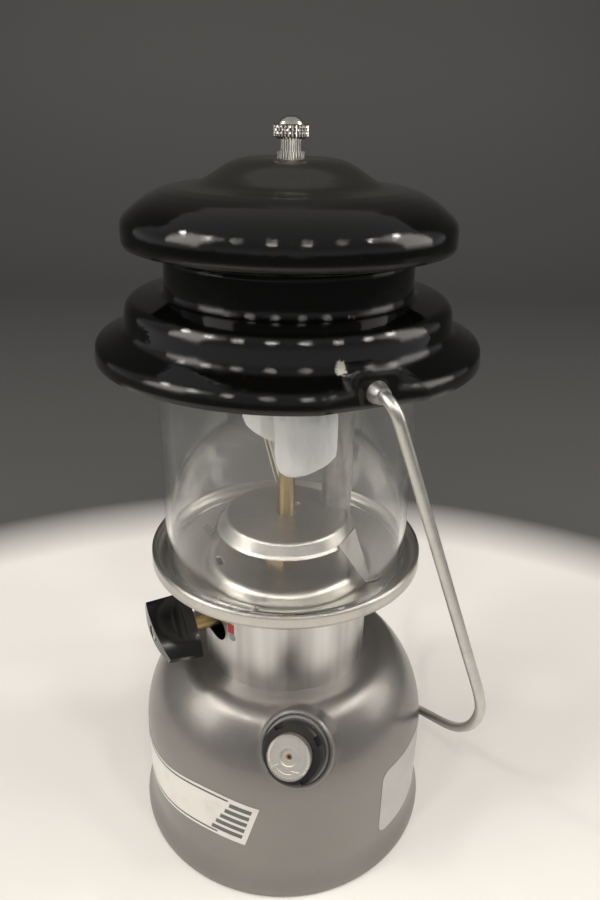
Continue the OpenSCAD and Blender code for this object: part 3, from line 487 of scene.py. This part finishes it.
mesh = bmesh.new()
for i in range(teeth):
    a = 360 / teeth * i
    tooth = [(tooth_in, a - 1.2), (tooth_out, a - 1.6), (tooth_out, a + 1.6), (tooth_in, a + 1.2)]
    raised(mesh, tooth, -0.9, 0.5)
arc = [(arrow_out, a) for a in range(arrow_start, arrow_end + 1, 6)]
arc += [(arrow_in, a) for a in range(arrow_end, arrow_start - 1, -6)]
arrow_tail = [(8.8, 218), (8.8, 230), (6.4, 230), (5.8, 220)]
arrow_head = [(8.8, 290), (8.2, 318), (5.8, 290)]
raised(mesh, arc, sunk, 0.45)
raised(mesh, arrow_tail, sunk, 0.55)
raised(mesh, arrow_head, sunk, 0.55)
for i in range(ring_parts):
    start, end = 360 / ring_parts * i, 360 / ring_parts * (i + 1)
    part = [(ring_in, start), (ring_out, start), (ring_out, end), (ring_in, end)]
    raised(mesh, part, sunk, 0.12)
stuck("disc_marks", mesh, [disc_metal], "plunger")
# A dark disc at the air stem's end, down in the air hole: painted shade in the hole.
look = Look("air_hole_painted_shade")
mesh = bmesh.new()
raised(mesh, [(air_hole, a) for a in range(0, 360, 15)], air_stem_end - 0.14, air_stem_end)
dark = look.finish(Base_Color=(0.01, 0.009, 0.008, 1), Roughness=0.7)
stuck("air_hole", mesh, [dark], "air_valve")

look = Look("drawn_steel")
stain = look.noise(90, 5)
paint(
    ["pump_barrel", "pump_rod", "cup_retainer", "knob_screw", "cleaning_rod", "center_stud"],
    look.finish(
        Base_Color=look.mix(stain, (0.45, 0.45, 0.44, 1), (0.66, 0.66, 0.65, 1)),
        Metallic=1.0,
        Roughness=0.25 + 0.2 * stain,
    ),
)
look = Look("cup_leather")
grain = look.add("TexVoronoi", {}, {"Scale": 1400, "Vector": look.place()})
paint(["pump_cup"], look.finish(
    Base_Color=look.mix(grain, (0.16, 0.08, 0.035, 1), (0.33, 0.19, 0.09, 1)),
    Roughness=0.55,
    Normal=look.bump(grain, 0.0002, 0.4),
))

# ---- valve knob ---------------------------------------------------------------------------------
# A glossy black bar knob, moulded with a bowed outer face. A screw through its middle holds it on
# the brass stem.
look = Look("knob_black")
haze = look.noise(160, 6)
paint(["valve_knob"], look.finish(
    Base_Color=look.mix(haze, (0.004, 0.004, 0.0042, 1), (0.012, 0.0115, 0.011, 1)),
    Roughness=0.08 + 0.16 * haze,
    Normal=look.bump(haze, 0.0001, 0.35),
))

# ---- collar -------------------------------------------------------------------------------------
# A cylinder of thin bright sheet, brushed round, with a slot for the valve stem and a round hole.
# Beside the slot are a red block and a grey dot, screen printed and a little worn.
look = Look("collar_sheet")
brushed = look.noise(1.0, 4, 0.7, look.stretched(18, 18, 5200))
# Upright light and dark bands are painted into the colour round the collar: painted reflections.
bands = look.ramp(look.noise(1.0, 3, 0.6, look.stretched(55, 55, 2.5)), [(0.35, 0.0), (0.65, 1.0)])
paint(["collar"], look.finish(
    Base_Color=look.mix(bands, (0.42, 0.415, 0.41, 1), (0.68, 0.675, 0.66, 1)),
    Metallic=1.0,
    Roughness=0.26 + 0.14 * brushed,
    Normal=look.bump(brushed, 0.00006, 0.7),
    Anisotropic=0.5,
))

# The marks, in degrees round the collar and millimetres up it.
mark_left, mark_right = -154.4, -148.9
mark_top, mark_bottom = 137.4, 131.6
dot_round, dot_up = -150.5, 129.6
dot_radius = 2.2
collar_radius = 43
ink_thick = 0.00005


def mark(from_left, from_top):
    """A spot on the red block."""
    return (mark_left + (mark_right - mark_left) * from_left,
            mark_top + (mark_bottom - mark_top) * from_top)


def dot(around, out):
    """A spot on the grey dot."""
    a = 2 * math.pi * around
    return (dot_round + math.degrees(out * dot_radius * math.cos(a) / collar_radius),
            dot_up + out * dot_radius * math.sin(a))


mesh = bmesh.new()
film(mesh, nodes["collar"], mark, 4, 4, ink_thick, 0)
film(mesh, nodes["collar"], dot, 20, 3, ink_thick, 1)
bmesh.ops.remove_doubles(mesh, verts=mesh.verts, dist=1e-6)
look = Look("mark_red")
worn = look.noise(900, 5, 0.7)
red = look.finish(
    Base_Color=look.mix(worn, (0.5, 0.03, 0.03, 1), (0.38, 0.05, 0.045, 1)),
    Roughness=0.4 + 0.2 * worn,
)
look = Look("mark_grey")
worn = look.noise(900, 5, 0.7)
grey = look.finish(
    Base_Color=look.mix(worn, (0.2, 0.21, 0.23, 1), (0.3, 0.3, 0.31, 1)),
    Roughness=0.4 + 0.2 * worn,
)
stuck("collar_marks", mesh, [red, grey])

# ---- tray ---------------------------------------------------------------------------------------
# The pressed, nickel plated tray that holds the globe, with a raised middle, a seat and a rolled
# rim. The nut under the burner clamps it to the collar.
look = Look("tray_plate")
stain = look.noise(38, 7, 0.66)
scuffs = look.noise(1.0, 5, 0.7, look.stretched(900, 260, 400))
paint(["tray"], look.finish(
    Base_Color=look.mix(0.6 * stain + 0.4 * scuffs, (0.38, 0.36, 0.335, 1), (0.7, 0.68, 0.645, 1)),
    Metallic=1.0,
    Roughness=0.25 + 0.08 * stain + 0.05 * scuffs,
    Normal=look.bump(scuffs, 0.00001, 0.3, look.rounded(0.0022)),
))

# ---- burner -------------------------------------------------------------------------------------
# The bright heat shield on two feet, the dulled mixing tube, and the manifold with its two caps. A
# brass generator runs up through the shield; heat has browned it.
look = Look("shield_steel")
stain = look.noise(45, 7, 0.66)
scuffs = look.noise(1.0, 5, 0.72, look.stretched(260, 1500, 1500))
paint(["heat_shield"], look.finish(
    Base_Color=look.mix(0.4 * stain + 0.6 * scuffs, (0.24, 0.23, 0.215, 1), (0.62, 0.6, 0.57, 1)),
    Metallic=1.0,
    Roughness=0.24 + 0.14 * stain + 0.14 * scuffs,
    Normal=look.bump(scuffs, 0.00004, 0.6, look.rounded(0.001, samples=4)),
))
look = Look("browned_brass")
stain = look.noise(140, 6, 0.7)
rings = look.noise(1.0, 3, 0.6, look.stretched(60, 60, 1800))
paint(["generator", "generator_nut"], look.finish(
    Base_Color=look.mix(stain, (0.2, 0.13, 0.05, 1), (0.5, 0.38, 0.17, 1)),
    Metallic=1.0,
    Roughness=0.24 + 0.25 * stain,
    Normal=look.bump(rings, 0.00005, 0.6),
))
look = Look("galvanised")
stain = look.noise(160, 7, 0.72)
streaks = look.noise(1.0, 4, 0.6, look.stretched(420, 420, 30))
dulled = 0.55 * stain + 0.45 * streaks
paint(["mixing_tube", "baffle", "vent_spacer"], look.finish(
    Base_Color=look.mix(dulled, (0.1, 0.098, 0.095, 1), (0.58, 0.57, 0.55, 1)),
    Metallic=0.85,
    Roughness=0.38 + 0.2 * stain,
    Normal=look.bump(stain, 0.0001, 0.4),
))
look = Look("sooty_iron")
stain = look.noise(140, 6)
paint(["burner_manifold", "burner_caps"], look.finish(
    Base_Color=look.mix(stain, (0.05, 0.045, 0.04, 1), (0.16, 0.14, 0.12, 1)),
    Metallic=0.4,
    Roughness=0.7,
))

# ---- mantles ------------------------------------------------------------------------------------
# Two socks of fine knitted rayon, burnt to a white ash that keeps the knit: each is gathered round
# a burner cap and tied with a string, and hangs as an uneven bag.
mantle_top = 0.2602
mantle_drop = 0.0462
mantle_neck = 0.0098
mantle_full = 0.0154
mantle_apart = 0.021
folds = 17
gather = 0.001  # how deep the folds are at the neck
swollen_at = 0.34  # share of the drop by which the bag has swelled to its full girth
closing_at = 0.8  # share at which it starts to close
flattened = 0.05  # share that its girth loses across the line through both mantles
hollow = 0.0011  # depth of the bag's slow hollows
crease_deep = 0.0009  # depth of its creases
pulled_in = 0.12  # share that its girth loses on the low side
tilt = 0.15  # share of the drop by which its end is aslant
mantle_rings = 34
mantle_points = 8 * folds


def mantle(name, side, low_side, seed):
    """One mantle: the side of the burner it is on, where it hangs lowest, and its creases' seed."""
    mesh = bmesh.new()
    rings = []
    for j in range(mantle_rings + 1):
        s = j / mantle_rings
        swell = min(1.0, s / swollen_at)
        swell = swell * swell * (3 - 2 * swell)
        closing = max(0.0, (s - closing_at) / (1 - closing_at))
        closing = math.sqrt(max(0.0, 1 - closing**3))
        ring = []
        for i in range(mantle_points):
            a = 2 * math.pi * i / mantle_points
            out = Vector((math.cos(a), math.sin(a), 0))
            rough = noise.noise(Vector((1.7 * out.x, 1.7 * out.y, 2.6 * s + seed)))
            crease = noise.noise(Vector((4.0 * out.x, 4.0 * out.y, 5.0 * s + seed + 9)))
            radius = mantle_neck + (mantle_full - mantle_neck) * swell
            radius *= 1 - flattened * swell * (0.5 + 0.5 * math.cos(2 * a - 0.6))
            radius += gather * (1 - swell) * (1 + math.cos(folds * a))
            radius -= swell * (hollow * abs(rough) + crease_deep * abs(crease))
            radius *= 1 - pulled_in * s * s * max(0.0, out.dot(low_side))
            radius *= max(closing, 0.02)
            lean = out.dot(low_side) * radius / mantle_full
            depth = mantle_drop * s**0.9 * (1 - tilt * (0.45 - lean) * s * s)
            ring.append(mesh.verts.new((
                out.x * radius, side * mantle_apart + out.y * radius, mantle_top - depth)))
        rings.append(ring)
    for upper, lower in zip(rings, rings[1:]):
        for i in range(mantle_points):
            k = (i + 1) % mantle_points
            mesh.faces.new((upper[i], upper[k], lower[k], lower[i])).smooth = True
    mesh.faces.new(rings[-1]).smooth = True
    piece = stuck(name + "_cloth", mesh, [ash])
    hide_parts(name)


course_waves = 7600  # the knit's rows, in radians to the metre
wale_waves = 130  # its columns round the mantle
look = Look("mantle_ash")
x, y, z = look.axes()
courses = look.maths("SINE", z * course_waves)
wales = look.maths("SINE", look.around(x, abs(y) - mantle_apart) * wale_waves)
knit = courses * wales
drift = look.noise(70, 5)
ash = look.finish(
    Base_Color=look.mix(drift, (0.78, 0.79, 0.8, 1), (0.93, 0.93, 0.92, 1)),
    Roughness=0.95,
    Subsurface_Weight=0.35,
    Subsurface_Radius=(0.004, 0.004, 0.004),
    Subsurface_Scale=1.0,
    Normal=look.bump(knit, 0.00012, 0.5, look.bump(drift, 0.0006, 0.5)),
)
mantle("mantle_front", -1, Vector((-0.92, 0.39, 0)), 1.3)
mantle("mantle_rear", 1, Vector((0.9, -0.4, 0)), 4.1)

# The loose ends of the rear mantle's tie string, stiffened by the heat. They hang down behind it.
string_thick = 0.0007
string_steps = 6
string_runs = [
    [(0.0004, 0.0322, 0.2570), (0.0000, 0.0362, 0.2470), (-0.0004, 0.0380, 0.2360),
     (0.0012, 0.0377, 0.2140), (0.0037, 0.0367, 0.2023), (0.0083, 0.0347, 0.1823)],
    [(0.0024, 0.0320, 0.2570), (0.0024, 0.0358, 0.2470), (0.0020, 0.0374, 0.2360),
     (0.0032, 0.0369, 0.2129), (0.0062, 0.0356, 0.1999), (0.0103, 0.0339, 0.1829)],
]
look = Look("string_yarn")
twist = look.noise(5200, 3)
yarn = look.finish(
    Base_Color=look.mix(twist, (0.72, 0.67, 0.42, 1), (0.9, 0.87, 0.66, 1)),
    Roughness=0.85,
    Normal=look.bump(twist, 0.0001, 0.6),
)
for number, run in enumerate(string_runs, 1):
    curve = bpy.data.curves.new("tie_string_%d" % number, "CURVE")
    curve.dimensions = "3D"
    curve.bevel_depth = string_thick / 2
    curve.bevel_resolution = 3
    curve.use_fill_caps = True
    line = curve.splines.new("POLY")
    spots = []
    for start, end in zip(run, run[1:]):
        spots += [Vector(start).lerp(Vector(end), k / string_steps) for k in range(string_steps)]
    spots.append(Vector(run[-1]))
    line.points.add(len(spots) - 1)
    for point, spot in zip(line.points, spots):
        point.co = (*spot, 1)
    curve.materials.append(yarn)
    piece = bpy.data.objects.new(curve.name, curve)
    scene.collection.objects.link(piece)
    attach(piece, "tank")

# ---- globe --------------------------------------------------------------------------------------
# A plain cylinder of clear heat-proof glass, open at both ends. It stands in the tray's seat, and
# has a little dust on it.
look = Look("globe_glass")
smudge = look.ramp(look.noise(26, 6, 0.68), [(0.52, 0.0), (0.8, 1.0)])
glass = look.add("BsdfPrincipled", {}, {
    "Base Color": (0.985, 0.99, 0.985, 1),
    "Roughness": 0.0,
    "IOR": 1.45,
    "Transmission Weight": 1.0,
})
haze = look.add("BsdfPrincipled", {}, {"Base Color": (0.8, 0.79, 0.76, 1), "Roughness": 0.6})
clear = look.add("BsdfTransparent", {}, {"Color": (0.93, 0.94, 0.935, 1)})
dusty = look.add("MixShader", {}, {0: 0.006 + 0.04 * smudge, 1: glass, 2: haze})
shadow = look.add("LightPath", {}, {}, output="Is Shadow Ray")
both = look.add("MixShader", {}, {0: shadow, 1: dusty, 2: clear})
look.tree.links.new(both.socket, look.out.inputs["Surface"])
paint(["globe"], look.data)

# ---- ventilator ---------------------------------------------------------------------------------
# Pressed sheet, dipped in black vitreous enamel: the hood with its band and brim, and the cap. The
# enamel is chipped to its ground coat beside one ear. Dust specks lie on it, and the cap's crown is
# painted greyer towards its top, as dust and painted sheen.
chip_centre = (-0.0102, -0.0742, 0.2832)
crown_foot = 0.0488  # where the crown's dust and painted sheen begin, above the chip
crown_rate = 80  # it is full 1/80 metre higher
enamel_black = (0.0022, 0.0022, 0.0021, 1)
dust_and_sheen_grey = (0.4, 0.38, 0.34, 1)
ground_coat = (0.42, 0.40, 0.36, 1)
look = Look("black_enamel")
peel = look.noise(150, 3)
dust = look.ramp(look.noise(700, 6, 0.75), [(0.62, 0.0), (0.74, 1.0)])
x, y, z = look.axes(chip_centre)
from_chip = (x * x * 3 + y * y + z * z) ** 0.5 * 100  # in centimetres
chipped = look.ramp(from_chip + 0.9 * look.noise(420, 5, 0.7), [(0.72, 1.0), (0.80, 0.0)])
# The crown is painted greyer towards its top: dust and painted sheen.
crown = look.ramp((z - crown_foot) * crown_rate, [(0.0, 0.0), (1.0, 1.0)])
dusted_and_sheened = look.mix(0.08 * dust + 0.045 * crown, enamel_black, dust_and_sheen_grey)
rippled = look.bump(peel, 0.0006, 0.1, look.rounded(0.003))
paint(["hood", "vent_cap"], look.finish(
    Base_Color=look.mix(chipped, dusted_and_sheened, ground_coat),
    Roughness=0.05 + 0.15 * crown + 0.15 * dust + 0.4 * chipped,
    Normal=look.bump(chipped * -1.0, 0.0006, 0.6, rippled),
    Specular_IOR_Level=0.5,
))

# ---- top nut ------------------------------------------------------------------------------------
# A plated ball nut, screwed down on the centre stud. Its waist is fluted and its band knurled in
# diamonds, and the hollows between them are painted dark as painted shade.
knurl_low = 0.35985
knurl_high = 0.3645
knurl_r = 0.0071
knurl_proud = 0.0004
knurl_rows = 4
knurl_points = 44
band_low = 0.3597
band_high = 0.3646
flutes = 26
root_shade_rate = 2600  # the painted shade in the knurl fades out 1/2600 metre from its root
look = Look("nut_plate")
stain = look.noise(300, 4)
x, y, z = look.axes()
proud = ((x * x + y * y) ** 0.5 - knurl_r) * root_shade_rate
knurled = (z > band_low) * (z < band_high)
waist = (z < band_low) * abs(look.maths("SINE", look.around(x, y) * (flutes / 2)))
# The knurl's roots and the flutes' hollows are painted dark: painted shade.
grip = look.ramp(proud * knurled + waist + (z > band_high), [(0.08, 0.0), (0.5, 1.0)])
polished = look.mix(stain, (0.68, 0.64, 0.58, 1), (0.9, 0.87, 0.81, 1))
nut_plate = look.finish(
    Base_Color=look.mix(grip, (0.1, 0.085, 0.07, 1), polished),
    Metallic=1.0,
    Roughness=0.12 + 0.14 * stain,
    Normal=look.bump(waist, 0.0004, 1.0),
)
paint(["ball_nut"], nut_plate)

mesh = bmesh.new()
rings = []
for j in range(knurl_rows + 1):
    inside = 0 < j < knurl_rows
    ring = []
    for i in range(knurl_points):
        a = 2 * math.pi * i / knurl_points
        radius = knurl_r + knurl_proud * (inside and (i + j) % 2)
        height = knurl_low + (knurl_high - knurl_low) * j / knurl_rows
        ring.append(mesh.verts.new((radius * math.cos(a), radius * math.sin(a), height)))
    rings.append(ring)
for j in range(knurl_rows):
    for i in range(knurl_points):
        k = (i + 1) % knurl_points
        corners = [rings[j][i], rings[j][k], rings[j + 1][k], rings[j + 1][i]]
        if (i + j) % 2:
            corners = corners[1:] + corners[:1]
        mesh.faces.new((corners[0], corners[1], corners[2]))
        mesh.faces.new((corners[0], corners[2], corners[3]))
stuck("nut_knurl", mesh, [nut_plate], "top_nut")

# ---- bail ---------------------------------------------------------------------------------------
# One length of plated steel wire. Its ends are bent in through the eyelets that are riveted in the
# hood's flat ears, so that it swings over the cap.
look = Look("bail_wire")
stain = look.noise(120, 7, 0.7)
paint(["bail", "bail_eyelets"], look.finish(
    Base_Color=look.mix(stain, (0.38, 0.372, 0.35, 1), (0.7, 0.69, 0.66, 1)),
    Metallic=1.0,
    Roughness=0.28 + 0.25 * stain,
    Normal=look.bump(stain, 0.0001, 0.4),
))
